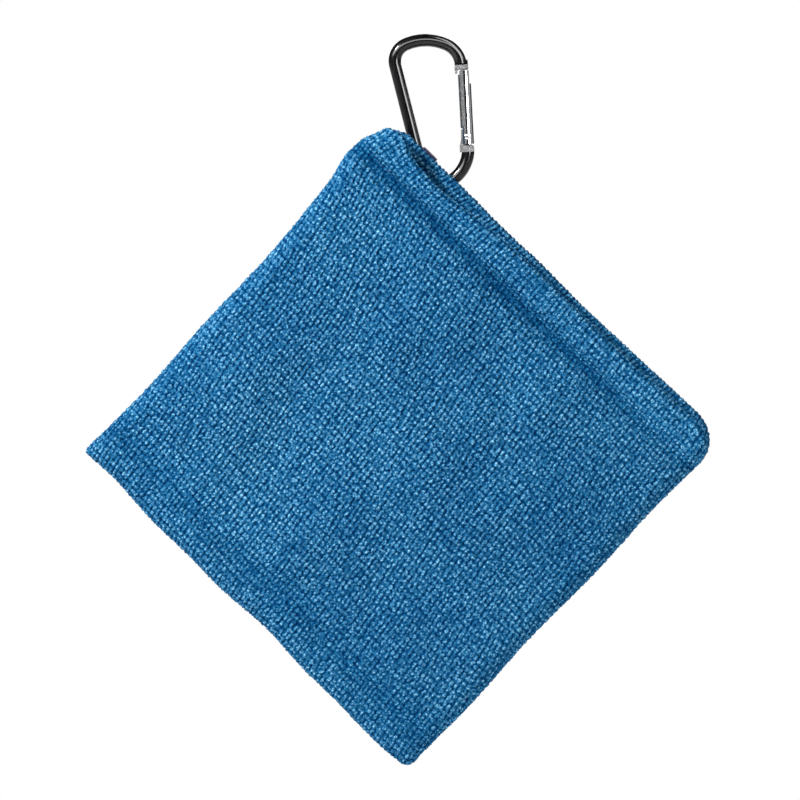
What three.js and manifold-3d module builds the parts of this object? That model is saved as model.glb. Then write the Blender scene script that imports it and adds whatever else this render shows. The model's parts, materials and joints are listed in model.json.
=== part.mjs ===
// A pocket golf towel: a square terry pouch with an open, hemmed mouth, hung by a strap loop
// on a spring-gate carabiner. Millimetres, +Z up, seen from -Y. The origin is the inside of the
// carabiner's top bend, where the carabiner hangs on a bag ring.
import * as THREE from "three";
import { mergeVertices } from "three/addons/utils/BufferGeometryUtils.js";
import Module from "manifold-3d";

const wasm = await Module();
wasm.setup();

// ---- Driving dimensions ----

const ROD_DIAMETER = 4;
const ROD_RADIUS = ROD_DIAMETER / 2;

// The carabiner's bends, as centreline radii.
const CREST_RADIUS = 16.5;
const NOSE_RADIUS = 7.55;
const CORNER_RADIUS = 5.74;
const FOOT_RADIUS = 3.5;
const LEG_RADIUS = 11.3;
const SPINE_LENGTH = 36.7;

// Where each bend hands over to the next, as degrees round its own centre, anticlockwise.
const NOSE_END = 7;
const NOSE_TO_CREST = 66.6;
const CREST_TO_CORNER = 113;
const SPINE_NORMAL = 194.3;
const FOOT_TO_LEG = 274.6;
const LEG_END = 360.5;
const CREST_SHIFT = 0.3;

// The gate stands on its rivet and leans 3 degrees towards the spine.
const GATE_LEAN = 3;
const GATE_RADIUS = 2;
const GATE_TOP = 21;
const GATE_FOOT = -2.4;
const BORE_RADIUS = 1.6;
const SPRING_BORE_TOP = 11.6;
const NOSE_BORE_FOOT = 16.8;
const RIVET_ABOVE_LEG = 4.25;
const RIVET_RADIUS = 0.6;
const RIVET_HEAD_RADIUS = 0.95;
const RIVET_HEAD_HEIGHT = 0.35;
const HOLE_CLEARANCE = 0.06;
const RIVET_HEAD_GAP = 0.04;
const RIVET_CROWN = 0.6;
const TONGUE_THICKNESS = 1.8;
const SLOT_WIDTH = 2.6;
const LIP_SLOT_DEPTH = 1.3;
const HINGE_SLOT_TOP = 2.75;

// The rod's two flattened ends, as heights up the gate from its rivet.
const NOSE_SHOULDER_LOW = 21.6;
const NOSE_SHOULDER_HIGH = 23;
const NOSE_SHOULDER_THICKNESS = 3;
const HINGE_SHOULDER_LOW = -4.9;
const HINGE_SHOULDER_HIGH = -3.05;
const HINGE_SHOULDER_THICKNESS = 3.8;
const KNUCKLE_RADIUS = 1.25;

const SPRING_WIRE = 0.34;
const SPRING_RADIUS = 1.12;
const SPRING_TURNS = 7;
const SPRING_FOOT = 4.2;
const SPRING_HEAD = 11.3;
const PLUNGER_FOOT = 3.1;
const PLUNGER_HEAD = 3.85;
const PLUNGER_STEM_TOP = 6.5;
const PLUNGER_RADIUS = 1.4;
const PLUNGER_STEM_RADIUS = 0.6;

// The pouch. U runs along the mouth and W runs square to it, towards the mouth.
const POUCH_SIDE = 140;
const HALF = POUCH_SIDE / 2;
const POUCH_CENTRE_X = -8.5;
const POUCH_CENTRE_Z = -126.6;
const MOUTH_SLOPE = 44.2;
const CLOTH = 2.6;
const POCKET_GAP = 5.4;
const HEM_THICKNESS = 4;
const MOUTH_GAP = 4.8;
const HEM_DEPTH = 10;
const BACK_LIP_RISE = 2.5;
const FIT_GAP = 0.3;
const MOUTH_CORNER_RADIUS = 7;
const FOOT_CORNER_RADIUS = 3;
const SEWN_CORNER_RADIUS = 1.5;

const SEAM_INSET = 0.8;
const SEAM_WIDTH = 8;
const SEAM_THICKNESS = 4.2;
const THREAD = 0.5;
const STITCH_PITCH = 4;
const STITCH_SWAY = 0.12;
const THREAD_CLEARANCE = 0.05;
const HEM_THREAD_INSET = 2;

// The strap is an upright oval loop behind the back hem, just wide enough for the sloping spine.
const STRAP_THICKNESS = 0.6;
const STRAP_WIDTH = 5.9;
const STRAP_CENTRE_U = -57.25;
const STRAP_TOP = 73.8;
const STRAP_HEIGHT = 10;
const STRAP_CLEARANCE = 0.15;
const TACK_HEIGHT = 1.6;
const TACK_BELOW_LIP = 5.6;
const TACK_THICKNESS = 0.35;

// How finely the bars are divided.
const ROD_STEPS = 130;
const CLOSING_THREAD_STEPS = 160;
const STEPS_PER_STITCH = 4;
const STEPS_PER_TURN = 12;
const ROD_SIDES = 12;
const WIRE_SIDES = 3;

// ---- Colours ----

const BLUE = 0x2f70a8;
const NAVY = 0x1d1b33;
const BLACK = 0x0b0b0d;
const STEEL = 0xc9ccd0;

// ---- Helpers ----

const radians = THREE.MathUtils.degToRad;

function direction(degrees) {
  return new THREE.Vector2(Math.cos(radians(degrees)), Math.sin(radians(degrees)));
}

function finish(name, geometry, colour, roughness, metalness) {
  const material = new THREE.MeshStandardMaterial({ color: colour, roughness, metalness });
  const mesh = new THREE.Mesh(geometry, material);
  mesh.name = name;
  return mesh;
}

const terry = (name, geometry) => finish(name, geometry, BLUE, 0.95, 0);
const sewingThread = (name, geometry) => finish(name, geometry, BLUE, 0.7, 0);
const polished = (name, geometry) => finish(name, geometry, STEEL, 0.15, 1);

function toSolid(geometry) {
  const bare = geometry.clone();
  bare.deleteAttribute("normal");
  bare.deleteAttribute("uv");
  const welded = mergeVertices(bare, 1e-5);
  const mesh = new wasm.Mesh({
    numProp: 3,
    vertProperties: Float32Array.from(welded.attributes.position.array),
    triVerts: Uint32Array.from(welded.index.array),
  });
  return new wasm.Manifold(mesh);
}

function toGeometry(solid) {
  const mesh = solid.getMesh();
  const geometry = new THREE.BufferGeometry();
  geometry.setAttribute("position", new THREE.BufferAttribute(mesh.vertProperties, 3));
  geometry.setIndex(new THREE.BufferAttribute(mesh.triVerts, 1));
  return geometry;
}

// An outline drawn in X and Z, as thick as given along Y and centred on Y = 0.
function plate(shape, thickness, curveSegments = 12) {
  const geometry = new THREE.ExtrudeGeometry(shape, {
    depth: thickness,
    bevelEnabled: false,
    curveSegments,
  });
  geometry.rotateX(Math.PI / 2);
  geometry.translate(0, thickness / 2, 0);
  return geometry;
}

function rectangle(left, right, low, high) {
  const shape = new THREE.Shape();
  shape.moveTo(left, low);
  shape.lineTo(right, low);
  shape.lineTo(right, high);
  shape.lineTo(left, high);
  shape.closePath();
  return shape;
}

function block(left, right, low, high, thickness) {
  return plate(rectangle(left, right, low, high), thickness);
}

// A rectangle with its own radius at each corner, anticlockwise from the lower left.
function roundedRectangle(left, right, low, high, radii) {
  const [lowLeft, lowRight, highRight, highLeft] = radii;
  const shape = new THREE.Shape();
  shape.absarc(left + lowLeft, low + lowLeft, lowLeft, Math.PI, 1.5 * Math.PI);
  shape.absarc(right - lowRight, low + lowRight, lowRight, 1.5 * Math.PI, 2 * Math.PI);
  shape.absarc(right - highRight, high - highRight, highRight, 0, 0.5 * Math.PI);
  shape.absarc(left + highLeft, high - highLeft, highLeft, 0.5 * Math.PI, Math.PI);
  shape.closePath();
  return shape;
}

// A cylinder along Z between two heights.
function upright(radius, low, high, sides = 32) {
  const geometry = new THREE.CylinderGeometry(radius, radius, high - low, sides);
  geometry.rotateX(Math.PI / 2);
  geometry.translate(0, 0, (low + high) / 2);
  return geometry;
}

// A cylinder along Y, centred on the origin.
function crosswise(radius, length, sides = 24) {
  return new THREE.CylinderGeometry(radius, radius, length, sides);
}

function circle(radius) {
  const shape = new THREE.Shape();
  shape.absarc(0, 0, radius, 0, 2 * Math.PI);
  return shape;
}

// A round bar that follows a 3-D curve.
function bar(curve, radius, steps, sides) {
  return new THREE.ExtrudeGeometry(circle(radius), {
    steps,
    curveSegments: sides,
    extrudePath: curve,
    bevelEnabled: false,
  });
}

// A flat path drawn in X and Z, as a 3-D curve.
class UprightCurve extends THREE.Curve {
  constructor(path) {
    super();
    this.path = path;
  }

  getPoint(t, target = new THREE.Vector3()) {
    const point = this.path.getPointAt(t);
    return target.set(point.x, 0, point.y);
  }
}

// ---- Carabiner ----

// The centre of the next bend, when it meets this one at the given angle after a straight run.
function nextCentre(centre, radius, nextRadius, angle, straight = 0) {
  return centre
    .clone()
    .addScaledVector(direction(angle), radius - nextRadius)
    .addScaledVector(direction(angle + 90), straight);
}

const crestCentre = new THREE.Vector2(CREST_SHIFT, ROD_RADIUS - CREST_RADIUS);
const noseCentre = nextCentre(crestCentre, CREST_RADIUS, NOSE_RADIUS, NOSE_TO_CREST);
const cornerCentre = nextCentre(crestCentre, CREST_RADIUS, CORNER_RADIUS, CREST_TO_CORNER);
const footCentre = nextCentre(
  cornerCentre, CORNER_RADIUS, FOOT_RADIUS, SPINE_NORMAL, SPINE_LENGTH,
);
const legCentre = nextCentre(footCentre, FOOT_RADIUS, LEG_RADIUS, FOOT_TO_LEG);

const legTop = legCentre.clone().addScaledVector(direction(LEG_END), LEG_RADIUS);
const gateUp = direction(90 + GATE_LEAN);
const rivet = legTop.clone().addScaledVector(gateUp, RIVET_ABOVE_LEG);

function carabinerCentreline() {
  const path = new THREE.Path();
  const bends = [
    [noseCentre, NOSE_RADIUS, NOSE_END, NOSE_TO_CREST],
    [crestCentre, CREST_RADIUS, NOSE_TO_CREST, CREST_TO_CORNER],
    [cornerCentre, CORNER_RADIUS, CREST_TO_CORNER, SPINE_NORMAL],
    [footCentre, FOOT_RADIUS, SPINE_NORMAL, FOOT_TO_LEG],
    [legCentre, LEG_RADIUS, FOOT_TO_LEG, LEG_END],
  ];
  for (const [centre, radius, start, end] of bends) {
    path.absarc(centre.x, centre.y, radius, radians(start), radians(end));
  }
  return new UprightCurve(path);
}

// Gate space has the rivet at its origin, +Z up the gate and +X away from the spine.
function placeFromGate(geometry) {
  geometry.rotateY(radians(-GATE_LEAN));
  geometry.translate(rivet.x, 0, rivet.y);
  return geometry;
}

// The flat nose that the gate closes on: a full-width head, a lip on the spine side that keeps
// the gate's slot covered, and a tongue down into the gate.
function noseTongue() {
  const shape = new THREE.Shape();
  shape.moveTo(-2.8, 24.4);
  shape.lineTo(-3, 21.5);
  shape.lineTo(-2.85, 20);
  shape.lineTo(-2.2, 20);
  shape.lineTo(-2, 21.3);
  shape.lineTo(-1.15, 21.3);
  shape.lineTo(-1.15, 17.8);
  shape.lineTo(0.9, 17.4);
  shape.lineTo(1.1, 21.3);
  shape.lineTo(1.5, 21.4);
  shape.lineTo(1.3, 24.4);
  shape.closePath();
  return plate(shape, TONGUE_THICKNESS);
}

// The flat hinge tongue between the gate's walls; it stands proud of them on the spine side.
function hingeTongue() {
  const shape = new THREE.Shape();
  shape.moveTo(-2.6, -4.8);
  shape.lineTo(1.9, -4.8);
  shape.lineTo(1.9, -3.05);
  shape.lineTo(1, -2.6);
  shape.absarc(0, 0, KNUCKLE_RADIUS, radians(-45), radians(60), false);
  shape.lineTo(0.2, 2.3);
  shape.lineTo(-1.95, 2.3);
  shape.lineTo(-2.1, -1);
  shape.lineTo(-2.6, -2.9);
  shape.closePath();
  return plate(shape, TONGUE_THICKNESS);
}

function carabinerBody() {
  const noseShoulder = block(
    -2.9, 1.45, NOSE_SHOULDER_LOW, NOSE_SHOULDER_HIGH, NOSE_SHOULDER_THICKNESS,
  );
  const hingeShoulder = block(
    -2.65, 1.95, HINGE_SHOULDER_LOW, HINGE_SHOULDER_HIGH, HINGE_SHOULDER_THICKNESS,
  );
  let body = toSolid(bar(carabinerCentreline(), ROD_RADIUS, ROD_STEPS, ROD_SIDES));
  for (const end of [noseShoulder, noseTongue(), hingeShoulder, hingeTongue()]) {
    body = body.add(toSolid(placeFromGate(end)));
  }
  const rivetHole = placeFromGate(crosswise(RIVET_RADIUS + HOLE_CLEARANCE, ROD_DIAMETER));
  body = body.subtract(toSolid(rivetHole));
  return finish("carabiner_body", toGeometry(body), BLACK, 0.25, 0.6);
}

function hingeRivet() {
  const headFoot = GATE_RADIUS + RIVET_HEAD_GAP;
  const headTop = headFoot + RIVET_HEAD_HEIGHT;
  const profile = [
    [0, -headTop],
    [RIVET_HEAD_RADIUS * RIVET_CROWN, -headTop],
    [RIVET_HEAD_RADIUS, -headFoot - RIVET_HEAD_HEIGHT / 2],
    [RIVET_HEAD_RADIUS, -headFoot],
    [RIVET_RADIUS, -headFoot],
    [RIVET_RADIUS, headFoot],
    [RIVET_HEAD_RADIUS, headFoot],
    [RIVET_HEAD_RADIUS, headFoot + RIVET_HEAD_HEIGHT / 2],
    [RIVET_HEAD_RADIUS * RIVET_CROWN, headTop],
    [0, headTop],
  ];
  const points = profile.map(([radius, along]) => new THREE.Vector2(radius, along));
  return polished("hinge_rivet", placeFromGate(new THREE.LatheGeometry(points, 24)));
}

// A bar drilled from both ends. The upper bore and its slots take the nose tongue, and the lower
// bore holds the spring above a slot that clears the hinge tongue.
function gateBarrel() {
  const overrun = 1;
  const outside = GATE_RADIUS + overrun;
  const above = GATE_TOP + overrun;
  const below = GATE_FOOT - overrun;
  const noseSlot = block(0, outside, NOSE_BORE_FOOT, above, SLOT_WIDTH);
  const lipSlot = block(-outside, 0, GATE_TOP - LIP_SLOT_DEPTH, above, SLOT_WIDTH);
  const hingeSlot = block(-outside, 0, below, HINGE_SLOT_TOP, SLOT_WIDTH);
  const cuts = [
    upright(BORE_RADIUS, below, SPRING_BORE_TOP),
    upright(BORE_RADIUS, NOSE_BORE_FOOT, above),
    noseSlot,
    lipSlot,
    hingeSlot,
    crosswise(RIVET_RADIUS + HOLE_CLEARANCE, 2 * GATE_RADIUS + overrun),
  ];
  let barrel = toSolid(upright(GATE_RADIUS, GATE_FOOT, GATE_TOP, 40));
  for (const cut of cuts) {
    barrel = barrel.subtract(toSolid(cut));
  }
  return polished("gate_barrel", placeFromGate(toGeometry(barrel)));
}

class SpringCurve extends THREE.Curve {
  getPoint(t, target = new THREE.Vector3()) {
    const turn = t * SPRING_TURNS * 2 * Math.PI;
    const height = THREE.MathUtils.lerp(SPRING_FOOT, SPRING_HEAD, t);
    return target.set(SPRING_RADIUS * Math.cos(turn), SPRING_RADIUS * Math.sin(turn), height);
  }
}

function gateSpring() {
  const steps = SPRING_TURNS * STEPS_PER_TURN;
  const coil = bar(new SpringCurve(), SPRING_WIRE / 2, steps, WIRE_SIDES);
  return polished("gate_spring", placeFromGate(coil));
}

// The plunger stands just above the highest point that the hinge tongue swings through.
function springPlunger() {
  const profile = [
    [0, PLUNGER_FOOT],
    [PLUNGER_RADIUS, PLUNGER_FOOT],
    [PLUNGER_RADIUS, PLUNGER_HEAD],
    [PLUNGER_STEM_RADIUS, PLUNGER_HEAD],
    [PLUNGER_STEM_RADIUS, PLUNGER_STEM_TOP],
    [0, PLUNGER_STEM_TOP],
  ];
  const points = profile.map(([radius, along]) => new THREE.Vector2(radius, along));
  const geometry = new THREE.LatheGeometry(points, 20);
  geometry.rotateX(Math.PI / 2);
  return polished("spring_plunger", placeFromGate(geometry));
}

// ---- Pouch ----

const hemLine = HALF - HEM_DEPTH;
const panelFace = POCKET_GAP / 2;
const hemFace = MOUTH_GAP / 2;
const hemOuterFace = hemFace + HEM_THICKNESS;
const strapFace = ROD_RADIUS + STRAP_CLEARANCE + STRAP_THICKNESS;
const pouchMiddle = -(strapFace + FIT_GAP + hemOuterFace);

// A flat piece of cloth in pouch space, between two distances from the pouch's middle plane.
function layer(shape, near, far) {
  const geometry = plate(shape, Math.abs(far - near), 6);
  geometry.translate(0, (near + far) / 2, 0);
  return geometry;
}

// side is -1 for the front and +1 for the back.
function panel(side) {
  const bottom = [SEWN_CORNER_RADIUS, FOOT_CORNER_RADIUS];
  const top = [SEWN_CORNER_RADIUS, SEWN_CORNER_RADIUS];
  const outline = roundedRectangle(
    -HALF, HALF, -HALF, hemLine - THREAD, [...bottom, ...top],
  );
  return layer(outline, side * panelFace, side * (panelFace + CLOTH));
}

// The mouth's edge, turned in and sewn down: two layers, and taller on the back.
function hem(side, rise) {
  const foot = [SEWN_CORNER_RADIUS, SEWN_CORNER_RADIUS];
  const lip = [MOUTH_CORNER_RADIUS, SEWN_CORNER_RADIUS];
  const outline = roundedRectangle(
    -HALF, HALF, hemLine + THREAD, HALF + rise, [...foot, ...lip],
  );
  return layer(outline, side * hemFace, side * hemOuterFace);
}

// A row of stitches along the groove between a hem and its panel.
class StitchCurve extends THREE.Curve {
  constructor(length) {
    super();
    this.length = length;
  }

  getPoint(t, target = new THREE.Vector3()) {
    const along = (t - 0.5) * this.length;
    const sway = STITCH_SWAY * Math.cos((2 * Math.PI * along) / STITCH_PITCH);
    return target.set(along, sway, hemLine);
  }
}

function hemThread(side) {
  const length = POUCH_SIDE - 2 * HEM_THREAD_INSET;
  const steps = Math.round((length / STITCH_PITCH) * STEPS_PER_STITCH);
  const geometry = bar(new StitchCurve(length), THREAD / 2, steps, WIRE_SIDES);
  geometry.translate(0, side * (panelFace + CLOTH - THREAD), 0);
  return geometry;
}

// Seam allowances, turned to the inside of the pouch along its three sewn sides.
function sideSeam(side) {
  const outer = HALF - SEAM_INSET;
  const inner = outer - SEAM_WIDTH;
  const low = -HALF + SEAM_INSET + SEAM_WIDTH + FIT_GAP;
  const high = HALF - MOUTH_CORNER_RADIUS / 2;
  const edges = side < 0 ? [-outer, -inner] : [inner, outer];
  return block(...edges, low, high, SEAM_THICKNESS);
}

function bottomSeam() {
  const outer = HALF - SEAM_INSET;
  const foot = [FOOT_CORNER_RADIUS, FOOT_CORNER_RADIUS];
  const top = [SEWN_CORNER_RADIUS, SEWN_CORNER_RADIUS];
  const outline = roundedRectangle(
    -outer, outer, -outer, -outer + SEAM_WIDTH, [...foot, ...top],
  );
  return plate(outline, SEAM_THICKNESS);
}

// One thread closes the left side, the bottom and the right side in the crease of the edge.
function closingThread() {
  const edge = HALF - THREAD / 2 - THREAD_CLEARANCE;
  const top = HALF - MOUTH_CORNER_RADIUS;
  const path = new THREE.Path();
  path.moveTo(-edge, top);
  path.absarc(-edge + FOOT_CORNER_RADIUS, -edge + FOOT_CORNER_RADIUS, FOOT_CORNER_RADIUS,
    Math.PI, 1.5 * Math.PI);
  path.absarc(edge - FOOT_CORNER_RADIUS, -edge + FOOT_CORNER_RADIUS, FOOT_CORNER_RADIUS,
    1.5 * Math.PI, 2 * Math.PI);
  path.lineTo(edge, top);
  return bar(new UprightCurve(path), THREAD / 2, CLOSING_THREAD_STEPS, WIRE_SIDES);
}

function frontParts() {
  return [
    terry("front_panel", panel(-1)),
    terry("front_hem", hem(-1, 0)),
    sewingThread("front_hem_thread", hemThread(-1)),
  ];
}

function backParts() {
  return [
    terry("back_panel", panel(1)),
    terry("back_hem", hem(1, BACK_LIP_RISE)),
    sewingThread("back_hem_thread", hemThread(1)),
    terry("left_seam", sideSeam(-1)),
    terry("right_seam", sideSeam(1)),
    terry("bottom_seam", bottomSeam()),
    sewingThread("closing_thread", closingThread()),
    sewingThread("strap_bar_tack", strapTack()),
  ];
}

// ---- Strap ----

// An upright stadium outline, drawn in Y and W.
function stadium(halfWidth, low, high) {
  return roundedRectangle(-halfWidth, halfWidth, low, high, Array(4).fill(halfWidth));
}

function strapLoop() {
  const low = STRAP_TOP - STRAP_HEIGHT;
  const outline = stadium(strapFace, low, STRAP_TOP);
  const eye = stadium(
    strapFace - STRAP_THICKNESS, low + STRAP_THICKNESS, STRAP_TOP - STRAP_THICKNESS,
  );
  outline.holes.push(eye);
  const geometry = new THREE.ExtrudeGeometry(outline, {
    depth: STRAP_WIDTH,
    bevelEnabled: false,
    curveSegments: 10,
  });
  geometry.rotateX(Math.PI / 2);
  geometry.rotateZ(Math.PI / 2);
  geometry.translate(STRAP_CENTRE_U - STRAP_WIDTH / 2, -pouchMiddle, 0);
  return finish("strap_loop", geometry, NAVY, 0.8, 0);
}

// The dense stitching that holds the strap, on the back lip's inner face, below the front lip.
function strapTack() {
  const high = HALF + BACK_LIP_RISE - TACK_BELOW_LIP;
  const outline = rectangle(
    STRAP_CENTRE_U - STRAP_WIDTH / 2, STRAP_CENTRE_U + STRAP_WIDTH / 2, high - TACK_HEIGHT, high,
  );
  const back = hemFace - THREAD_CLEARANCE;
  return layer(outline, back - TACK_THICKNESS, back);
}

// ---- Assembly ----

function group(name, ...children) {
  const made = new THREE.Group();
  made.name = name;
  made.add(...children);
  return made;
}

const gate = group("gate", gateBarrel(), gateSpring(), springPlunger());
const carabiner = group("carabiner", carabinerBody(), hingeRivet(), gate);
const pouch = group("pouch", strapLoop(), ...backParts(), ...frontParts());
pouch.rotation.y = radians(MOUTH_SLOPE);
pouch.position.set(POUCH_CENTRE_X, pouchMiddle, POUCH_CENTRE_Z);

export default group("golf_towel", carabiner, pouch);
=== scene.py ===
import json
import math

import bpy
import numpy as np
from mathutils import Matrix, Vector


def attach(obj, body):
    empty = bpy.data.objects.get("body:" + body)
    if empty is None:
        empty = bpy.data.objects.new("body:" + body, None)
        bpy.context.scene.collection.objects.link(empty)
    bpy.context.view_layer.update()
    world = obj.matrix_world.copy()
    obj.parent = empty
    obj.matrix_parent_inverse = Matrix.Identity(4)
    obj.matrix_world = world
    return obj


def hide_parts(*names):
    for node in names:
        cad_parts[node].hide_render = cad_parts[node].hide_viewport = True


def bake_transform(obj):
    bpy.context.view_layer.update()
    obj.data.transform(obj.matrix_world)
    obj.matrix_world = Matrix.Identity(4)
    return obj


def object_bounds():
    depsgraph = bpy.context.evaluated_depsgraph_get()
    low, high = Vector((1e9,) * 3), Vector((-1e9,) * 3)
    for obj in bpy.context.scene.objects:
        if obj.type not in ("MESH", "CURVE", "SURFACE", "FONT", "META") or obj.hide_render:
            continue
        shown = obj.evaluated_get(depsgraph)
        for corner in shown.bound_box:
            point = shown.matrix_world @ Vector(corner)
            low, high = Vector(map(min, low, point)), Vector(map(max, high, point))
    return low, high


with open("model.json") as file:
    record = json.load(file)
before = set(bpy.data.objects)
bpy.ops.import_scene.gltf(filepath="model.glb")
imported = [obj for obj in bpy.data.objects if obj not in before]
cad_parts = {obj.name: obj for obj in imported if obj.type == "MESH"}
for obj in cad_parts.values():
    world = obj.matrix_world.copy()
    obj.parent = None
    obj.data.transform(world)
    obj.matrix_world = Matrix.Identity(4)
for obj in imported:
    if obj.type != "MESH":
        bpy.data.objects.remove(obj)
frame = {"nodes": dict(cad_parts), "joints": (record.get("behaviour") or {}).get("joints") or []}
cad_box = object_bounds()

# Places on the pouch are in millimetres: u along the mouth, v out of the back, w towards the mouth.
MM = 0.001

# A layer's side: which way it faces along v.
FRONT, BACK = -1, 1

# ---- The pouch's own axes and sizes, from the frame ----

JOINTS = {joint["name"]: joint for joint in frame["joints"]}


def unit(vector):
    vector = np.array(vector, float)
    return vector / np.linalg.norm(vector)


ALONG = unit(JOINTS["mouth_open"]["axis"])
OUT = np.array([0.0, 1.0, 0.0])
ACROSS = np.cross(ALONG, OUT)
AXES = np.stack([ALONG, OUT, ACROSS])


def mesh_points(mesh):
    """A mesh's points as rows of x, y and z, in metres."""
    flat = np.zeros(len(mesh.vertices) * 3, np.float32)
    mesh.vertices.foreach_get("co", flat)
    return flat.reshape(-1, 3).astype(float)


def raw_extent(name):
    """A CAD node's lowest and highest places along the pouch's axes, from the frame's origin."""
    along_axes = mesh_points(frame["nodes"][name].data) @ AXES.T / MM
    return along_axes.min(0), along_axes.max(0)


back_low, back_high = raw_extent("back_panel")
front_low = raw_extent("front_panel")[0]
HALF = (back_high[0] - back_low[0]) / 2
CENTRE = np.array([
    (back_low[0] + back_high[0]) / 2,
    (front_low[1] + back_high[1]) / 2,
    back_low[2] + HALF,
])


def to_world(points):
    """Pouch places in millimetres to the row frame in metres."""
    return (np.asarray(points, float) + CENTRE) @ AXES * MM


def extent(name):
    """A CAD node's lowest and highest u, v and w."""
    low, high = raw_extent(name)
    return low - CENTRE, high - CENTRE


FACE = extent("back_panel")[1][1]
HEM_FACE = extent("back_hem")[1][1]
HEM_INNER = extent("back_hem")[0][1]
HEM_LINE = (extent("back_panel")[1][2] + extent("back_hem")[0][2]) / 2
BACK_LIP = extent("back_hem")[1][2]
FRONT_LIP = extent("front_hem")[1][2]

# ---- Camera ----

VIEW_WIDTH = 0.2544
VIEW_CENTRE = (-0.0080, -0.1124)
CAMERA_DISTANCE = 1.2


def make_camera():
    data = bpy.data.cameras.new("camera")
    data.type = "ORTHO"
    data.ortho_scale = VIEW_WIDTH
    camera = bpy.data.objects.new("camera", data)
    camera.location = (VIEW_CENTRE[0], -CAMERA_DISTANCE, VIEW_CENTRE[1])
    camera.rotation_euler = (math.pi / 2, 0, 0)
    bpy.context.scene.collection.objects.link(camera)
    bpy.context.scene.camera = camera


make_camera()
bpy.context.scene.view_settings.view_transform = "Standard"

# ---- Node helpers ----


class Nodes:
    """The node tree of a material or a world, with short ways to add and join nodes."""

    def __init__(self, owner):
        self.owner = owner
        owner.use_nodes = True
        self.tree = owner.node_tree
        self.shader = self.tree.nodes.get("Principled BSDF")

    def add(self, kind, links=None, **values):
        node = self.tree.nodes.new("ShaderNode" + kind)
        for key, value in values.items():
            setattr(node, key, value)
        for socket, source in (links or {}).items():
            self.plug(source, node.inputs[socket])
        return node

    def plug(self, source, socket):
        if isinstance(source, bpy.types.NodeSocket):
            self.tree.links.new(source, socket)
        else:
            socket.default_value = source

    def attribute(self, name):
        return self.add("Attribute", attribute_name=name).outputs["Fac"]

    def place(self):
        return self.add("TexCoord").outputs["Object"]

    def noise(self, scale, detail=3.0, roughness=0.55, vector=None):
        links = {
            "Vector": vector or self.place(),
            "Scale": scale,
            "Detail": detail,
            "Roughness": roughness,
        }
        return self.add("TexNoise", links).outputs["Fac"]

    def loops(self, scale):
        """The distance to the nearest of scattered points: round cells, scale of them per metre."""
        return self.add("TexVoronoi", {"Vector": self.place(), "Scale": scale}).outputs["Distance"]

    def ramp(self, source, stops):
        node = self.add("ValToRGB", {"Fac": source})
        elements = node.color_ramp.elements
        while len(elements) < len(stops):
            elements.new(0.5)
        for element, (position, colour) in zip(elements, stops):
            element.position = position
            element.color = (*colour, 1)
        return node.outputs["Color"]

    def blend(self, share, first, second, kind="MIX"):
        node = self.add("MixRGB", {"Fac": share}, blend_type=kind)
        self.plug(first, node.inputs["Color1"])
        self.plug(second, node.inputs["Color2"])
        return node.outputs["Color"]

    def tint(self, colour, source, stops):
        """The colour, multiplied by the source's ramp."""
        return self.blend(1.0, colour, self.ramp(source, stops), "MULTIPLY")

    def compute(self, operation, first, second):
        return self.add("Math", {0: first, 1: second}, operation=operation).outputs["Value"]

    def dot(self, vector, direction):
        links = {0: vector, 1: tuple(direction)}
        return self.add("VectorMath", links, operation="DOT_PRODUCT").outputs["Value"]

    def bump(self, height, distance):
        links = {"Height": height, "Distance": distance, "Strength": 1.0}
        self.plug(self.add("Bump", links).outputs["Normal"], self.shader.inputs["Normal"])

    def window(self, value, low, high, soft):
        """1 where the value lies from low to high, and falling to 0 over soft on each side."""
        rise = {"Value": value, "From Min": low - soft, "From Max": low}
        fall = {"Value": value, "From Min": high, "From Max": high + soft, "To Min": 1.0, "To Max": 0.0}
        edges = [
            self.add("MapRange", side, interpolation_type="SMOOTHSTEP").outputs["Result"]
            for side in (rise, fall)
        ]
        return self.compute("MULTIPLY", *edges)

    def set(self, **values):
        """Sets or joins the shader's own inputs, so base_color is its Base Color."""
        for name, value in values.items():
            title = name.replace("_", " ").title().replace("Ior", "IOR")
            self.plug(value, self.shader.inputs[title])


def material_nodes(name):
    return Nodes(bpy.data.materials.new(name))


# ---- Floor and lamps ----

WHITE = (1, 1, 1, 1)
FLOOR_HALF_SIDE = 4
FLOOR_BELOW = 0.035
FLOOR_COLOUR = (0.9, 0.9, 0.9, 1)
FLOOR_ROUGHNESS = 0.9
FLOOR_GLOW = 0.5

# Each lamp: its name, its place, its width and height in metres, and its watts.
LAMPS = [
    ("key", (-0.52, -0.45, 0.43), (0.13, 0.13), 14.3),
    ("fill", (0.75, -1.0, 0.1), (0.6, 0.9), 3.4),
    ("back_fill", (0.5, 1.1, 0.5), (0.9, 0.9), 14),
]


def floor_material():
    """Pale paint that also glows a little to the camera, and so stays pale from low angles."""
    nodes = material_nodes("floor_paint")
    seen = nodes.add("LightPath").outputs["Is Camera Ray"]
    nodes.set(
        base_color=FLOOR_COLOUR,
        roughness=FLOOR_ROUGHNESS,
        emission_color=WHITE,
        emission_strength=nodes.compute("MULTIPLY", seen, FLOOR_GLOW),
    )
    return nodes.owner


def make_floor():
    size = FLOOR_HALF_SIDE
    z = cad_box[0].z - FLOOR_BELOW
    corners = [(-size, -size, z), (size, -size, z), (size, size, z), (-size, size, z)]
    mesh = bpy.data.meshes.new("floor")
    mesh.from_pydata(corners, [], [(0, 1, 2, 3)])
    mesh.materials.append(floor_material())
    floor = bpy.data.objects.new("floor", mesh)
    bpy.context.scene.collection.objects.link(floor)


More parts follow.
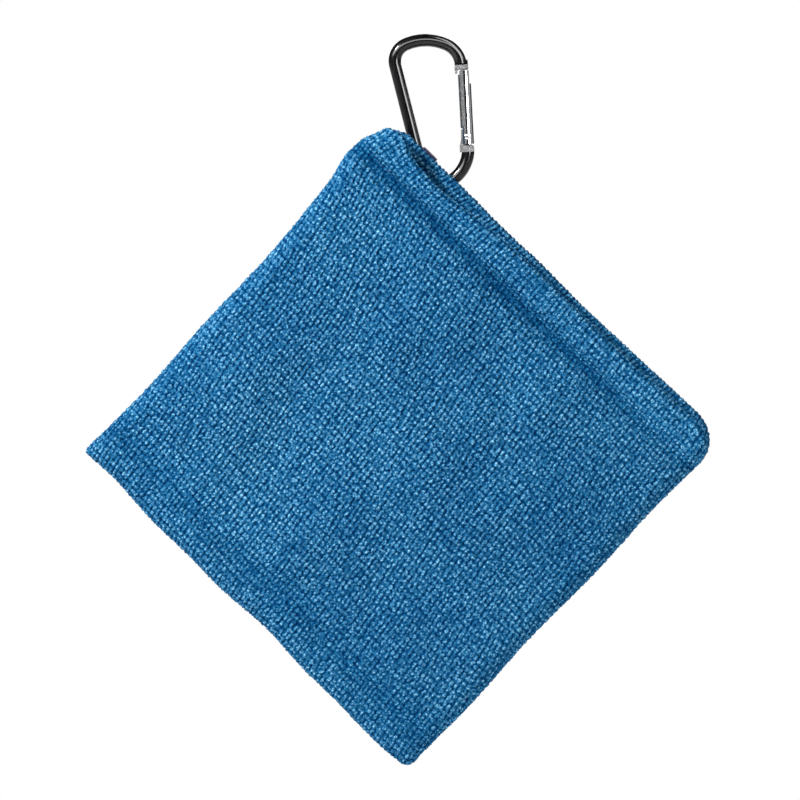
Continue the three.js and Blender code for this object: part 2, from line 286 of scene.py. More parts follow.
def make_lamp(name, place, size, watts):
    """An area light that faces the middle of the view."""
    data = bpy.data.lights.new(name, "AREA")
    data.shape = "RECTANGLE"
    data.size, data.size_y = size
    data.energy = watts
    lamp = bpy.data.objects.new(name, data)
    lamp.location = place
    toward = Vector((VIEW_CENTRE[0], 0, VIEW_CENTRE[1])) - Vector(place)
    lamp.rotation_euler = toward.to_track_quat("-Z", "Y").to_euler()
    bpy.context.scene.collection.objects.link(lamp)


make_floor()
for lamp_values in LAMPS:
    make_lamp(*lamp_values)

# ---- The room: white to the camera, dark with soft boxes to reflections, and evenly lit to the rest ----

ROOM_COLOUR = (0.9, 0.95, 1, 1)
ROOM_LIGHT = 0.29
DARK_ROOM = 0.03

# Each soft box: azimuth from and to, elevation from and to, softness, in degrees; brightness.
SOFT_BOXES = [
    (29, 43, -70, 70, 5, 24.0),
    (48, 104, -70, 70, 8, 0.40),
    (-92, -22, -70, 70, 5, 0.36),
    (-60, 60, 15, 27, 5, 14.0),
]


def soft_box_brightness(nodes):
    """How bright the dark room with its soft boxes is in each direction."""
    place = nodes.add("SeparateXYZ", {0: nodes.add("TexCoord").outputs["Generated"]})
    forward = nodes.compute("MULTIPLY", place.outputs["Y"], -1.0)
    azimuth = nodes.compute("ARCTAN2", place.outputs["X"], forward)
    elevation = nodes.compute("ARCSINE", place.outputs["Z"], 0.0)
    brightness = DARK_ROOM
    for azimuth_low, azimuth_high, low, high, soft, strength in SOFT_BOXES:
        across = nodes.window(azimuth, *map(math.radians, (azimuth_low, azimuth_high, soft)))
        upward = nodes.window(elevation, *map(math.radians, (low, high, soft)))
        box = nodes.compute("MULTIPLY", nodes.compute("MULTIPLY", across, upward), strength)
        brightness = nodes.compute("MAXIMUM", box, brightness)
    return brightness


def make_room():
    nodes = Nodes(bpy.data.worlds.new("studio"))
    nodes.tree.nodes.clear()
    shades = {
        "seen": {"Color": WHITE},
        "felt": {"Color": ROOM_COLOUR, "Strength": ROOM_LIGHT},
        "reflected": {"Color": WHITE, "Strength": soft_box_brightness(nodes)},
    }
    shade = {name: nodes.add("Background", links).outputs[0] for name, links in shades.items()}
    path = nodes.add("LightPath").outputs
    unseen = nodes.add("MixShader", {0: path["Is Glossy Ray"], 1: shade["felt"], 2: shade["reflected"]})
    room = nodes.add("MixShader", {0: path["Is Camera Ray"], 1: unseen.outputs[0], 2: shade["seen"]})
    nodes.add("OutputWorld", {"Surface": room.outputs[0]})
    bpy.context.scene.world = nodes.owner


make_room()

# ---- Terry material ----

LOOPS_PER_METRE = 1200.0
FIBRES_PER_METRE = 5200.0
MOTTLES_PER_METRE = 26.0
BLUE_SHEEN = (0.10, 0.42, 0.85, 1)
FIBRE_BUMP = 0.5
TERRY_BUMP = 0.00040

# The cloth's colour by its pile's height, with painted shade low between the tufts and a painted highlight
# at their tips, and then what multiplies it, each as a ramp.
TERRY_COLOUR_AND_PAINTED_LIGHT = [(0.0, (0.0010, 0.036, 0.124)), (0.45, (0.011, 0.116, 0.254)), (1.0, (0.132, 0.346, 0.540))]
TUFT_TINT = [(0.0, (0.95, 0.96, 0.97)), (1.0, (1.05, 1.04, 1.03))]
MOTTLE_TINT = [(0.30, (0.80, 0.88, 0.92)), (0.70, (1.18, 1.10, 1.06))]
# Fine fibre tone that is partly random and partly a painted highlight, lighter where the fibre bump is
# raised.
FIBRE_TONE_AND_PAINTED_HIGHLIGHT = [(0.35, (0.80, 0.83, 0.86)), (0.7, (1.22, 1.18, 1.15))]
# Painted highlight near the middle of each small loop and painted shade towards its edges, where the bump
# sinks.
LOOP_PAINTED_LIGHT = [(0.08, (2.30, 1.78, 1.50)), (0.34, (0.96, 0.97, 0.98)), (0.62, (0.15, 0.39, 0.52))]


def terry_material():
    """Blue microfibre: painted shade between the tufts, a painted highlight at their tips, and a tone a
    little different in each.
    """
    nodes = material_nodes("terry")
    # Painted shade and highlight: the lower the pile, the darker the colour.
    colour = nodes.ramp(nodes.attribute("pile"), TERRY_COLOUR_AND_PAINTED_LIGHT)
    colour = nodes.tint(colour, nodes.attribute("tuft"), TUFT_TINT)
    colour = nodes.tint(colour, nodes.noise(MOTTLES_PER_METRE, detail=1.0), MOTTLE_TINT)
    fibres = nodes.noise(FIBRES_PER_METRE, detail=2.0, roughness=0.6)
    colour = nodes.tint(colour, fibres, FIBRE_TONE_AND_PAINTED_HIGHLIGHT)
    loops = nodes.loops(LOOPS_PER_METRE)
    # Painted highlight and shade of the small loops, following their bump.
    colour = nodes.tint(colour, loops, LOOP_PAINTED_LIGHT)
    nodes.set(
        base_color=colour,
        roughness=0.8,
        specular_ior_level=0.0,
        sheen_weight=0.05,
        sheen_roughness=0.45,
        sheen_tint=BLUE_SHEEN,
    )
    raised = nodes.compute("MULTIPLY", fibres, FIBRE_BUMP)
    nodes.bump(nodes.compute("SUBTRACT", raised, loops), TERRY_BUMP)
    return nodes.owner


TERRY = terry_material()

# ---- Smooth steps, bells and noise ----

SEED = 7
TABLE = 128
TINY = 1e-9


def smooth_step(t):
    t = np.clip(t, 0, 1)
    return t * t * (3 - 2 * t)


def step(place, amount, start, run):
    """Nothing up to the start, and the whole amount from a run further on."""
    return amount * smooth_step((place - start) / run)


def bell(place, amount, centre, reach):
    """The amount at the centre, fading on both sides within about the reach."""
    return amount * np.exp(-(((place - centre) / reach) ** 2))


def drift(x, y, cell, seed):
    """Smooth noise from -1 to 1 that changes over about one cell."""
    table = np.random.default_rng(SEED + seed).uniform(-1, 1, (TABLE, TABLE))
    i, j = np.floor(x / cell).astype(int), np.floor(y / cell).astype(int)
    s, t = smooth_step(x / cell - i), smooth_step(y / cell - j)

    def corner(di, dj):
        return table[(i + di) % TABLE, (j + dj) % TABLE]

    low = corner(0, 0) * (1 - s) + corner(1, 0) * s
    high = corner(0, 1) * (1 - s) + corner(1, 1) * s
    return low * (1 - t) + high * t


def drift_along(x, cell, seed):
    """The same noise along one line only."""
    return drift(x, x * 0, cell, seed)


# ---- Terry: rows of tufts on a smooth cloth surface ----

ROW_PITCH = 2.03
TUFT_PITCH = 1.46
TUFT_HALF_WIDTH = 0.80
TUFT_HALF_LENGTH = 1.30
TUFT_ROUNDNESS = 0.75
LEAST_TUFT = 0.90
PILE_HEIGHT = 0.62
ROW_LEAN = 0.22
FUZZ = 0.16
LOOP_SIZE = 0.48
LOOP_RELIEF = 0.40
TUFT_SEED = 100

# How far the rows and columns wander, in mm, and over what distance: slowly, and quickly.
COLUMN_SWAY, COLUMN_SWAY_CELL = 0.5, 11
COLUMN_TREMBLE, COLUMN_TREMBLE_CELL = 0.10, 2.4
ROW_SWAY, ROW_SWAY_CELL = 0.9, 24
ROW_TREMBLE, ROW_TREMBLE_CELL = 0.12, 5

# How far each tuft stands from its place, in shares of the two pitches.
TUFT_SHIFT_ACROSS = 0.20
TUFT_SHIFT_ALONG = 0.14


def tufts(x, y, seed):
    """The pile's height, from 0 to about 1, and the tuft's own shade, at each place on the cloth."""
    rng = np.random.default_rng(SEED + TUFT_SEED + seed)
    size, shade, push_x, push_y = rng.uniform(0, 1, (4, TABLE, TABLE))
    x = x + COLUMN_SWAY * drift(x, y, COLUMN_SWAY_CELL, seed + 1) + (
        COLUMN_TREMBLE * drift(x, y, COLUMN_TREMBLE_CELL, seed + 2)
    )
    y = y + ROW_SWAY * drift(x, y, ROW_SWAY_CELL, seed + 3) + (
        ROW_TREMBLE * drift(x, y, ROW_TREMBLE_CELL, seed + 4)
    )
    height, tone = np.zeros_like(x), np.zeros_like(x)
    row_here = np.floor(y / ROW_PITCH).astype(int)
    for row in (row_here - 1, row_here, row_here + 1):
        start = x / TUFT_PITCH + row * ROW_LEAN
        column_here = np.floor(start).astype(int)
        for column in (column_here - 1, column_here, column_here + 1):
            cell = (row % TABLE, column % TABLE)
            across = (start - column - 0.5 - TUFT_SHIFT_ACROSS * (push_x[cell] - 0.5)) * TUFT_PITCH
            along = y - (row + 0.5 + TUFT_SHIFT_ALONG * (push_y[cell] - 0.5)) * ROW_PITCH
            reach = (across / TUFT_HALF_WIDTH) ** 2 + (along / TUFT_HALF_LENGTH) ** 2
            tallness = LEAST_TUFT + (1 - LEAST_TUFT) * size[cell]
            dome = np.clip(1 - reach, 0, 1) ** TUFT_ROUNDNESS * tallness
            higher = dome > height
            height = np.where(higher, dome, height)
            tone = np.where(higher, shade[cell], tone)
    height = height * (1 + LOOP_RELIEF * drift(x, y, LOOP_SIZE, seed + 5))
    return height, tone


def grid_normals(points):
    """Unit normals of a grid of points, from its neighbours."""
    first = np.gradient(points, axis=0)
    second = np.gradient(points, axis=1)
    normal = np.cross(first, second)
    return normal / np.maximum(np.linalg.norm(normal, axis=2, keepdims=True), TINY)


def add_attribute(mesh, name, values):
    mesh.attributes.new(name, "FLOAT", "POINT").data.foreach_set(
        "value", np.asarray(values, np.float32).ravel()
    )


def make_piece(name, slot, points, faces, material, **attributes):
    """A smooth-shaded object from pouch places in millimetres, with values at its points."""
    mesh = bpy.data.meshes.new(name)
    mesh.from_pydata(to_world(points).tolist(), [], faces)
    mesh.materials.append(material)
    mesh.polygons.foreach_set("use_smooth", [True] * len(mesh.polygons))
    mesh.update()
    for attribute, values in attributes.items():
        add_attribute(mesh, attribute, values)
    piece = bpy.data.objects.new(name, mesh)
    bpy.context.scene.collection.objects.link(piece)
    return piece


def make_terry(name, points, faces, pile, tuft):
    return make_piece(name, "terry_cloth", points, faces, TERRY, pile=pile, tuft=tuft)


def grid_faces(index, flip):
    """Quads of a grid of vertex numbers."""
    quads = np.stack(
        [index[:-1, :-1], index[1:, :-1], index[1:, 1:], index[:-1, 1:]], axis=2
    ).reshape(-1, 4)
    return (quads[:, ::-1] if flip else quads).tolist()


def tube_faces(index, flip):
    """Quads of a grid of vertex numbers whose second way runs round, and its two end faces."""
    faces = grid_faces(np.concatenate([index, index[:, :1]], axis=1), flip)
    ends = [index[0].tolist(), index[-1].tolist()[::-1]]
    return faces + ([end[::-1] for end in ends] if flip else ends)


# ---- How the cloth hangs ----

EDGE_RADIUS = 4.6
QUARTER_TURN = EDGE_RADIUS * math.pi / 2
LEFT_FOOT = 0.6
LEFT_LEAN = 5.2
LEFT_LEAN_POWER = 1.8
HIGHEST_UP = 1.1
HORN_LINE = 62
HORN_TAPER = 0.25
RIGHT_SPREAD = 2.2
RIGHT_FOOT = 1.6
BOTTOM_SAG = 1.4
BOTTOM_TILT = 0.5

# Bells: amount, centre and reach. Waves: amount, length over 2 pi, and start.
LEFT_BULGE = (2.3, 57, 9)
BOTTOM_WAVE = (0.45, 11, 0.6)
BOTTOM_RIPPLE = (0.3, 5.3, 0.0)
SIDE_WAVE = (0.35, 9, 0.0)


def wave(place, amount, length, start):
    return amount * np.sin(place / length + start)


def edge_inset(distance):
    """How far in from the sewn edge the cloth is, after that distance along it."""
    turn = np.clip(distance / EDGE_RADIUS, 0, math.pi / 2)
    return EDGE_RADIUS * (1 - np.cos(turn)) + np.maximum(distance - QUARTER_TURN, 0)


def edge_rise(distance):
    """How far the cloth has left the pouch's middle plane, as a share."""
    return np.sin(np.clip(distance / EDGE_RADIUS, 0, math.pi / 2))


def corner_drop(u, inset, radii):
    """How far the nearer round corner falls below its square one; radii are the left and right."""
    radius = np.where(u < 0, *radii)
    short = np.clip(radius - inset, 0, radius)
    return radius - np.sqrt(np.maximum(radius * radius - short * short, 0))


def hang(u, w):
    """The square pouch's outline as it hangs: the strap's side leans out, the others belly."""
    up = np.clip((w + HALF) / (2 * HALF), 0, HIGHEST_UP)
    left = np.clip((1 - u / HALF) / 2, 0, 1) ** 2
    right = np.clip((1 + u / HALF) / 2, 0, 1) ** 2
    low = np.clip((1 - w / HALF) / 2, 0, 1) ** 2
    horn = HORN_TAPER * np.maximum(w - HORN_LINE, 0)
    lean = (LEFT_FOOT - LEFT_LEAN * up**LEFT_LEAN_POWER - bell(w, *LEFT_BULGE) + horn) * left
    lean = lean + (RIGHT_SPREAD + RIGHT_FOOT * low) * right
    flutter = wave(w, *SIDE_WAVE) * (right + left)
    sag = BOTTOM_SAG + BOTTOM_TILT * u / HALF - wave(u, *BOTTOM_WAVE) - wave(u, *BOTTOM_RIPPLE)
    return u + lean + flutter, w - sag * low


CROWN = 1.1
CROWN_LINE = -12
FOLD_HEIGHT, FOLD_CELL = 1.8, 26
RIPPLE_HEIGHT, RIPPLE_CELL = 0.6, 12
DIAGONAL_SLOPE = 0.8
DIAGONAL_HEIGHT, DIAGONAL_LENGTH = 0.5, 17
FOLD_FADE = 2.2
SWELL_SEED = 20


def swell(u, w, side):
    """How much further out than flat the cloth stands, in its soft low folds."""
    seed = SWELL_SEED + side
    crown = np.cos(math.pi / 2 * np.clip(u / HALF, -1, 1)) * np.cos(
        math.pi / 2 * np.clip((w - CROWN_LINE) / (HALF - CROWN_LINE), -1, 1)
    )
    folds = FOLD_HEIGHT * drift(u, w, FOLD_CELL, seed) + RIPPLE_HEIGHT * drift(u, w, RIPPLE_CELL, seed + 1)
    diagonal = wave(u * DIAGONAL_SLOPE + w, DIAGONAL_HEIGHT, DIAGONAL_LENGTH, seed)
    return CROWN * crown + (folds + diagonal) * np.clip(crown * FOLD_FADE, 0, 1)


def hem_swell(u, side):
    """The same, along the hem line."""
    return swell(u, u * 0 + HEM_LINE, side)


# ---- The two panels ----

GRID_U = 0.29
GRID_W = 0.30
COARSE = 5
CLOTH = 1.9
EDGE_GAP = 0.3
LINING_GAP = 0.15
LINING_PILE = 0.45
PILE_SINK = 0.35
BASE_FACE = FACE - PILE_SINK
BOTTOM_CORNERS = (1.2, 2.6)
BOTTOM_CORNER_POWER = 6

# The hem's distance along the cloth from the bottom edge.
HEM_ARC = HEM_LINE + HALF - EDGE_RADIUS + QUARTER_TURN

# How hard the hem stitching pulls: a step along the mouth, and how uneven it is, over what distance.
HEM_SLACK = (0.6, 25, 40)
HEM_UNEVEN, HEM_UNEVEN_CELL = 0.12, 14
HEM_SEED = 30

# Bells and steps across the cloth: amount, centre and reach, or amount, start and run downwards.
TROUGH_DEPTH = 2.7
TROUGH = (TROUGH_DEPTH, HEM_LINE, 4.4)
HEM_PRESS = (0.5, HEM_LINE - 0.8, 2.6)
SEAM_LINE, SEAM_REACH = -HALF + 11, 3.6
SEAM_TROUGH = (1.3, SEAM_LINE, SEAM_REACH)
SEAM_PRESS = (0.22, SEAM_LINE, SEAM_REACH)
FOOT_FALL = (1.8, 15, 50)

# The height that combed pile tends to, and the share of evening out in the bottom and right corners.
COMBED_HEIGHT = 0.5
COMBED_LOW = 0.20
COMBED_RIGHT = 0.12


def side_arcs(points):
    """Evenly spaced distances along the cloth from its left edge, and its whole width."""
    width = 2 * HALF - 2 * EDGE_RADIUS + 2 * QUARTER_TURN
    return np.linspace(0, width, points), width


def across_panel(distance, width):
    """The flat pouch's u, the rise at the nearest side and the distance in from that side."""
    near = np.minimum(distance, width - distance)
    inset = edge_inset(near)
    u = np.where(distance < width / 2, -HALF + inset, HALF - inset)
    return u, edge_rise(near), inset


def hem_pull(u):
    """How hard the hem stitching pulls: unevenly, and less towards the mouth's right corner."""
    evenness = 1 - HEM_UNEVEN + HEM_UNEVEN * drift_along(u, HEM_UNEVEN_CELL, HEM_SEED)
    return (1 - step(u, *HEM_SLACK)) * evenness


def pressed(u, w):
    """How much of its height the pile keeps where the stitching pulls the cloth in."""
    # Lower pile also takes a darker colour from the terry's ramp, so this paints shade along the hem and the
    # bottom seam too.
    return 1 - hem_pull(u) * bell(w, *HEM_PRESS) - bell(w, *SEAM_PRESS)


def combed(pile, u, w):
    """The pile's heights, evened out towards the pouch's bottom and right corners as it hangs."""
    # The terry's colour follows these heights, so this also softens its painted shade and highlight there.
    low = smooth_step((u - w) / (2 * HALF))
    right = smooth_step((u + w) / (2 * HALF))
    return COMBED_HEIGHT + (pile - COMBED_HEIGHT) * (1 - COMBED_LOW * low - COMBED_RIGHT * right)


def panel_surface(side, lengths, heights, width):
    """The panel's middle surface for arc places, as a grid of pouch places."""
    distance, above = np.meshgrid(lengths, heights, indexing="ij")
    u, rise_side, inset = across_panel(distance, width)
    w = -HALF + edge_inset(above)
    rise = rise_side * edge_rise(above)
    trough = bell(w, *TROUGH) * hem_pull(u) + bell(w, *SEAM_TROUGH) + step(-w, *FOOT_FALL)
    out = EDGE_GAP + (BASE_FACE - EDGE_GAP + swell(u, w, side) - trough) * rise
    low = np.clip((1 - w / HALF) / 2, 0, 1) ** BOTTOM_CORNER_POWER
    u, w = hang(u, w + corner_drop(u, inset, BOTTOM_CORNERS) * low)
    return np.stack([u, side * out, w], axis=2)


def rim_faces(outside, inside, flip):
    """Joins a fine grid's border to that of a coarse grid, one face for each coarse step."""
    def border(grid):
        return np.concatenate([grid[:-1, 0], grid[-1, :-1], grid[:0:-1, -1], grid[0, :0:-1]])

    fine, coarse = border(outside), border(inside)
    faces = []
    for i in range(len(coarse)):
        run = [int(fine[(i * COARSE + k) % len(fine)]) for k in range(COARSE + 1)]
        face = run + [int(coarse[(i + 1) % len(coarse)]), int(coarse[i])]
        faces.append(face if flip else face[::-1])
    return faces


def panel(name, side, seed):
    """One layer of terry: fine tufts outside, a plain lining face, and one closed rim."""
    count_u = int(2 * HALF / GRID_U / COARSE) * COARSE + 1
    count_w = int(2 * HALF / GRID_W / COARSE) * COARSE + 1
    lengths, width = side_arcs(count_u)
    heights = np.linspace(0, HEM_ARC, count_w)
    base = panel_surface(side, lengths, heights, width)
    normals = grid_normals(base) * -side
    pile, tone = tufts(*np.meshgrid(lengths, heights, indexing="ij"), seed)
    cloth_u, cloth_w = lengths[:, None] - width / 2, -HALF + edge_inset(heights)[None]
    pile = combed(pile * pressed(cloth_u, cloth_w), cloth_u, cloth_w)
    fuzz = np.random.default_rng(SEED + seed).uniform(-FUZZ, FUZZ, pile.shape)
    outer = base + normals * (PILE_HEIGHT * pile + fuzz)[..., None]
    inner = (base - normals * CLOTH)[::COARSE, ::COARSE]
    inner[..., 1] = side * np.maximum(side * inner[..., 1], LINING_GAP)
    points = np.concatenate([outer.reshape(-1, 3), inner.reshape(-1, 3)])
    outside = np.arange(outer[..., 0].size).reshape(outer.shape[:2])
    inside = np.arange(inner[..., 0].size).reshape(inner.shape[:2]) + outside.size
    faces = grid_faces(outside, side > 0) + grid_faces(inside, side < 0)
    faces += rim_faces(outside, inside, side > 0)
    plain = np.full(inside.size, LINING_PILE)
    pile, tone = np.append(pile, plain), np.append(tone, plain)
    return make_terry(name, points, faces, pile, tone)


# ---- The two lips: the mouth's edge, folded in and sewn down ----

LIP_STEP = 0.34
LIP_PILE = 0.9
LIP_EDGE = 0.12
PILE_ROOM = 0.45
ROLL_POINTS = 24
GROOVE_POINTS = 12
GROOVE_RUN = 4.5
GROOVE_BELOW, GROOVE_ABOVE = 0.4, 3.0
LIP_FOOT = 0.6
LIP_FOLD, LIP_FOLD_CELL = 0.35, 16
LIP_FOLD_SEED = 40

# The left and the right corner's radius, for the front lip and for the back one.
LIP_CORNERS = {FRONT: (1.2, 11.0), BACK: (6.5, 11.0)}

# The lip's height along the mouth, as steps (amount, start, run) and bells (amount, centre, reach).
LIP_LIFT = 0.4
LIP_WAVE, LIP_WAVE_CELL = 0.25, 9
LIP_WAVE_SEED = 60
RIGHT_LIFT = (0.7, 25, 30)
FRONT_DIP = (2.9, -45, 17)
FRONT_HORN = (2.2, -65, 4.5)
FRONT_CORNER_LIFT = (1.6, 50, 18)


def lip_profile(top):
    """The lip's section, from the hem groove up its face, over the top and down inside."""
    face, inner = HEM_FACE - PILE_ROOM, HEM_INNER + PILE_ROOM
    radius = (face - inner) / 2
    turn = np.linspace(0, math.pi, ROLL_POINTS)
    roll = np.stack([
        (face + inner) / 2 + radius * np.cos(turn),
        top - PILE_ROOM - radius + radius * np.sin(turn),
    ], axis=1)
    rise = np.linspace(0, 1, GROOVE_POINTS)
    groove = np.stack([
        BASE_FACE - TROUGH_DEPTH + (face - BASE_FACE + TROUGH_DEPTH) * smooth_step(rise),
        HEM_LINE - GROOVE_BELOW + (GROOVE_BELOW + GROOVE_ABOVE) * rise,
    ], axis=1)
    foot = np.array([[inner, HEM_LINE + LIP_FOOT]])
    return np.concatenate([groove, roll, foot])


def resample(line, step_length):
    """The same line, with evenly spaced points about a step apart, and their distances along it."""
    lengths = np.concatenate([[0], np.cumsum(np.linalg.norm(np.diff(line, axis=0), axis=1))])
    places = np.linspace(0, lengths[-1], max(2, int(lengths[-1] / step_length) + 1))
    return np.stack([np.interp(places, lengths, column) for column in line.T], axis=1), places


def lip_height(side, u, inset, top):
    """The lip's top along the mouth: corners are round, and the front one dips near the strap."""
    height = top - corner_drop(u, inset, LIP_CORNERS[side]) + LIP_LIFT
    height = height + LIP_WAVE * drift_along(u, LIP_WAVE_CELL, LIP_WAVE_SEED + side)
    height = height + step(u, *RIGHT_LIFT)
    if side == BACK:
        return height
    return height - bell(u, *FRONT_DIP) + bell(u, *FRONT_HORN) + step(u, *FRONT_CORNER_LIFT)


def lip(name, side, top, seed):
    """One lip of the mouth: a tube of terry along it, closed at both ends."""
    profile, arcs = resample(lip_profile(top), LIP_STEP)
    lengths, width = side_arcs(int(2 * HALF / GRID_U) + 1)
    distance, arc = np.meshgrid(lengths, arcs, indexing="ij")
    u, rise, inset = across_panel(distance, width)
    stretch = (lip_height(side, u, inset, top) - HEM_LINE) / (top - HEM_LINE)
    w = HEM_LINE + (profile[None, :, 1] - HEM_LINE) * stretch
    out = profile[None, :, 0] * (LIP_EDGE + (1 - LIP_EDGE) * rise)
    out = out + LIP_FOLD * drift(u, w, LIP_FOLD_CELL, LIP_FOLD_SEED + side) * rise
    foot = rise * (1 - smooth_step(arcs / GROOVE_RUN))
    out = out + (TROUGH_DEPTH * (1 - hem_pull(u)) + hem_swell(u, side)) * foot
    u, w = hang(u, w)
    base = np.stack([u, side * out, w], axis=2)
    normals = grid_normals(base) * -side
    pile, tone = tufts(distance, arc + HEM_ARC, seed)
    cloth_u, cloth_w = lengths[:, None] - width / 2, HEM_LINE + arcs[None]
    pile = combed(pile * pressed(cloth_u, cloth_w), cloth_u, HEM_LINE)
    outer = base + normals * (PILE_HEIGHT * LIP_PILE * pile)[..., None]
    index = np.arange(pile.size).reshape(pile.shape)
    return make_terry(name, outer.reshape(-1, 3), tube_faces(index, side > 0), pile, tone)


# ---- Sewing thread ----

THREAD_RADIUS = 0.17
THREAD_END = 0.7
THREAD_END_TURN = 0.25
THREAD_TWIST = 0.9
STEEP = 0.8
# Painted shade in the grooves of the twist and a painted highlight on its ridges, where the bump rises.
THREAD_COLOUR_AND_PAINTED_LIGHT = [(0.0, (0.002, 0.024, 0.070)), (1.0, (0.022, 0.110, 0.240))]
THREAD_BUMP = 0.00008
STITCH_LENGTH = 3.2
STITCH_GAP = 0.7
STITCH_SIDES = 8
STITCH_POINTS = 7
HEM_STITCH_INSET = 3.0
HEM_STITCH_RISE = 0.35
CREASE_INSET = 0.3
CREASE_CORNER = 3.0
CREASE_CORNER_POINTS = 12
TACK_RADIUS = 0.16
TACK_STITCHES = 22
TACK_SLANT = 0.12
TACK_SINK = 0.05


def thread_material():
    nodes = material_nodes("thread")
    # The twist sets both the bump and the painted shade and highlight of the colour.
    twist = nodes.attribute("twist")
    nodes.set(
        base_color=nodes.ramp(twist, THREAD_COLOUR_AND_PAINTED_LIGHT),
        roughness=0.5,
        specular_ior_level=0.2,
        sheen_weight=0.1,
        sheen_tint=BLUE_SHEEN,
    )
    nodes.bump(twist, THREAD_BUMP)
    return nodes.owner


THREAD = thread_material()


def tube(line, radius, sides, first):
    """A closed tube along a line: its points, faces and place round the twist."""
    line = np.asarray(line, float)
    tangent = np.gradient(line, axis=0)
    tangent /= np.maximum(np.linalg.norm(tangent, axis=1, keepdims=True), TINY)
    helper = np.array([0, 1, 0]) if abs(tangent[0][1]) < STEEP else np.array([1, 0, 0])
    side = np.cross(tangent, helper)
    side /= np.linalg.norm(side, axis=1, keepdims=True)
    other = np.cross(tangent, side)
    turn = np.linspace(0, 2 * math.pi, sides, endpoint=False)
    ring = np.cos(turn)[:, None] * side[:, None] + np.sin(turn)[:, None] * other[:, None]
    points = (line[:, None] + radius[:, None, None] * ring).reshape(-1, 3)
    index = np.arange(len(points)).reshape(len(line), sides) + first
    lengths = np.concatenate([[0], np.cumsum(np.linalg.norm(np.diff(line, axis=0), axis=1))])
    twist = 0.5 + 0.5 * np.sin(2 * turn[None] + lengths[:, None] / THREAD_TWIST * 2 * math.pi)
    return points, tube_faces(index, True), twist.ravel()


def stitches(name, runs, radius=THREAD_RADIUS):
    """One piece of separate stitches, each a twisted tube that thins towards its ends."""
    points, faces, twists, count = [], [], [], 0
    for run in runs:
        fullness = np.sin(np.linspace(THREAD_END_TURN, math.pi - THREAD_END_TURN, len(run)))
        radii = radius * (THREAD_END + (1 - THREAD_END) * fullness)
        new_points, new_faces, twist = tube(run, radii, STITCH_SIDES, count)
        points.append(new_points)
        faces += new_faces
        twists.append(twist)
        count += len(new_points)
    points, twists = np.concatenate(points), np.concatenate(twists)
    return make_piece(name, "sewing_thread", points, faces, THREAD, twist=twists)


def hem_stitches(side):
    """A row of lockstitches in the groove below a lip, each dipping into the cloth at its ends."""
    runs = []
    end = HALF - HEM_STITCH_INSET
    for start in np.arange(-end, end - STITCH_LENGTH, STITCH_LENGTH + STITCH_GAP):
        u = np.linspace(start, start + STITCH_LENGTH, STITCH_POINTS)
        stand = HEM_STITCH_RISE * np.cos(np.linspace(-math.pi / 2, math.pi / 2, STITCH_POINTS))
        groove = BASE_FACE - TROUGH_DEPTH * hem_pull(u)
        out = (groove + hem_swell(u, side)) * edge_rise(HALF - np.abs(u))
        hung_u, hung_w = hang(u, np.full_like(u, HEM_LINE))
        runs.append(np.stack([hung_u, side * (out + stand), hung_w], axis=1))
    return runs


def crease_stitches():
    """Stitches along the crease of the left side, the bottom and the right side."""
    edge = HALF - CREASE_INSET
    centre = edge - CREASE_CORNER
    top = HALF - LIP_CORNERS[BACK][1]
    turn = np.linspace(0, math.pi / 2, CREASE_CORNER_POINTS)
    cosine, sine = CREASE_CORNER * np.cos(turn), CREASE_CORNER * np.sin(turn)
    low_left = np.stack([-centre - cosine, -centre - sine], axis=1)
    low_right = np.stack([centre + sine, -centre - cosine], axis=1)
    path = np.concatenate([[[-edge, top]], low_left, low_right, [[edge, top]]])
    line = resample(path, (STITCH_LENGTH + STITCH_GAP) / STITCH_POINTS)[0]
    u, w = hang(line[:, 0], line[:, 1])
    line = np.stack([u, 0 * u, w], axis=1)
    return [line[i:i + STITCH_POINTS] for i in range(0, len(line) - STITCH_POINTS, STITCH_POINTS)]


def tack_stitches():
    """A dense zigzag that holds the strap to the back lip, on the lip's inner face."""
    low, high = extent("strap_bar_tack")
    runs = []
    for i, u in enumerate(np.linspace(low[0], high[0], TACK_STITCHES)):
        ends = (low[2], high[2]) if i % 2 else (high[2], low[2])
        w = np.linspace(*ends, STITCH_POINTS)
        line = np.stack([u + TACK_SLANT * (w - low[2]), np.full_like(w, high[1] - TACK_SINK), w], axis=1)
        runs.append(line)
    return runs


# ---- Seam allowances inside the pouch ----

SEAM_GRID = 0.6
SEAM_SIDES = 48
SEAM_ROUNDNESS = 0.55
SEAM_TAPER = 1.5
SEAM_END = 0.5


def signed_power(values, power):
    return np.sign(values) * np.abs(values) ** power


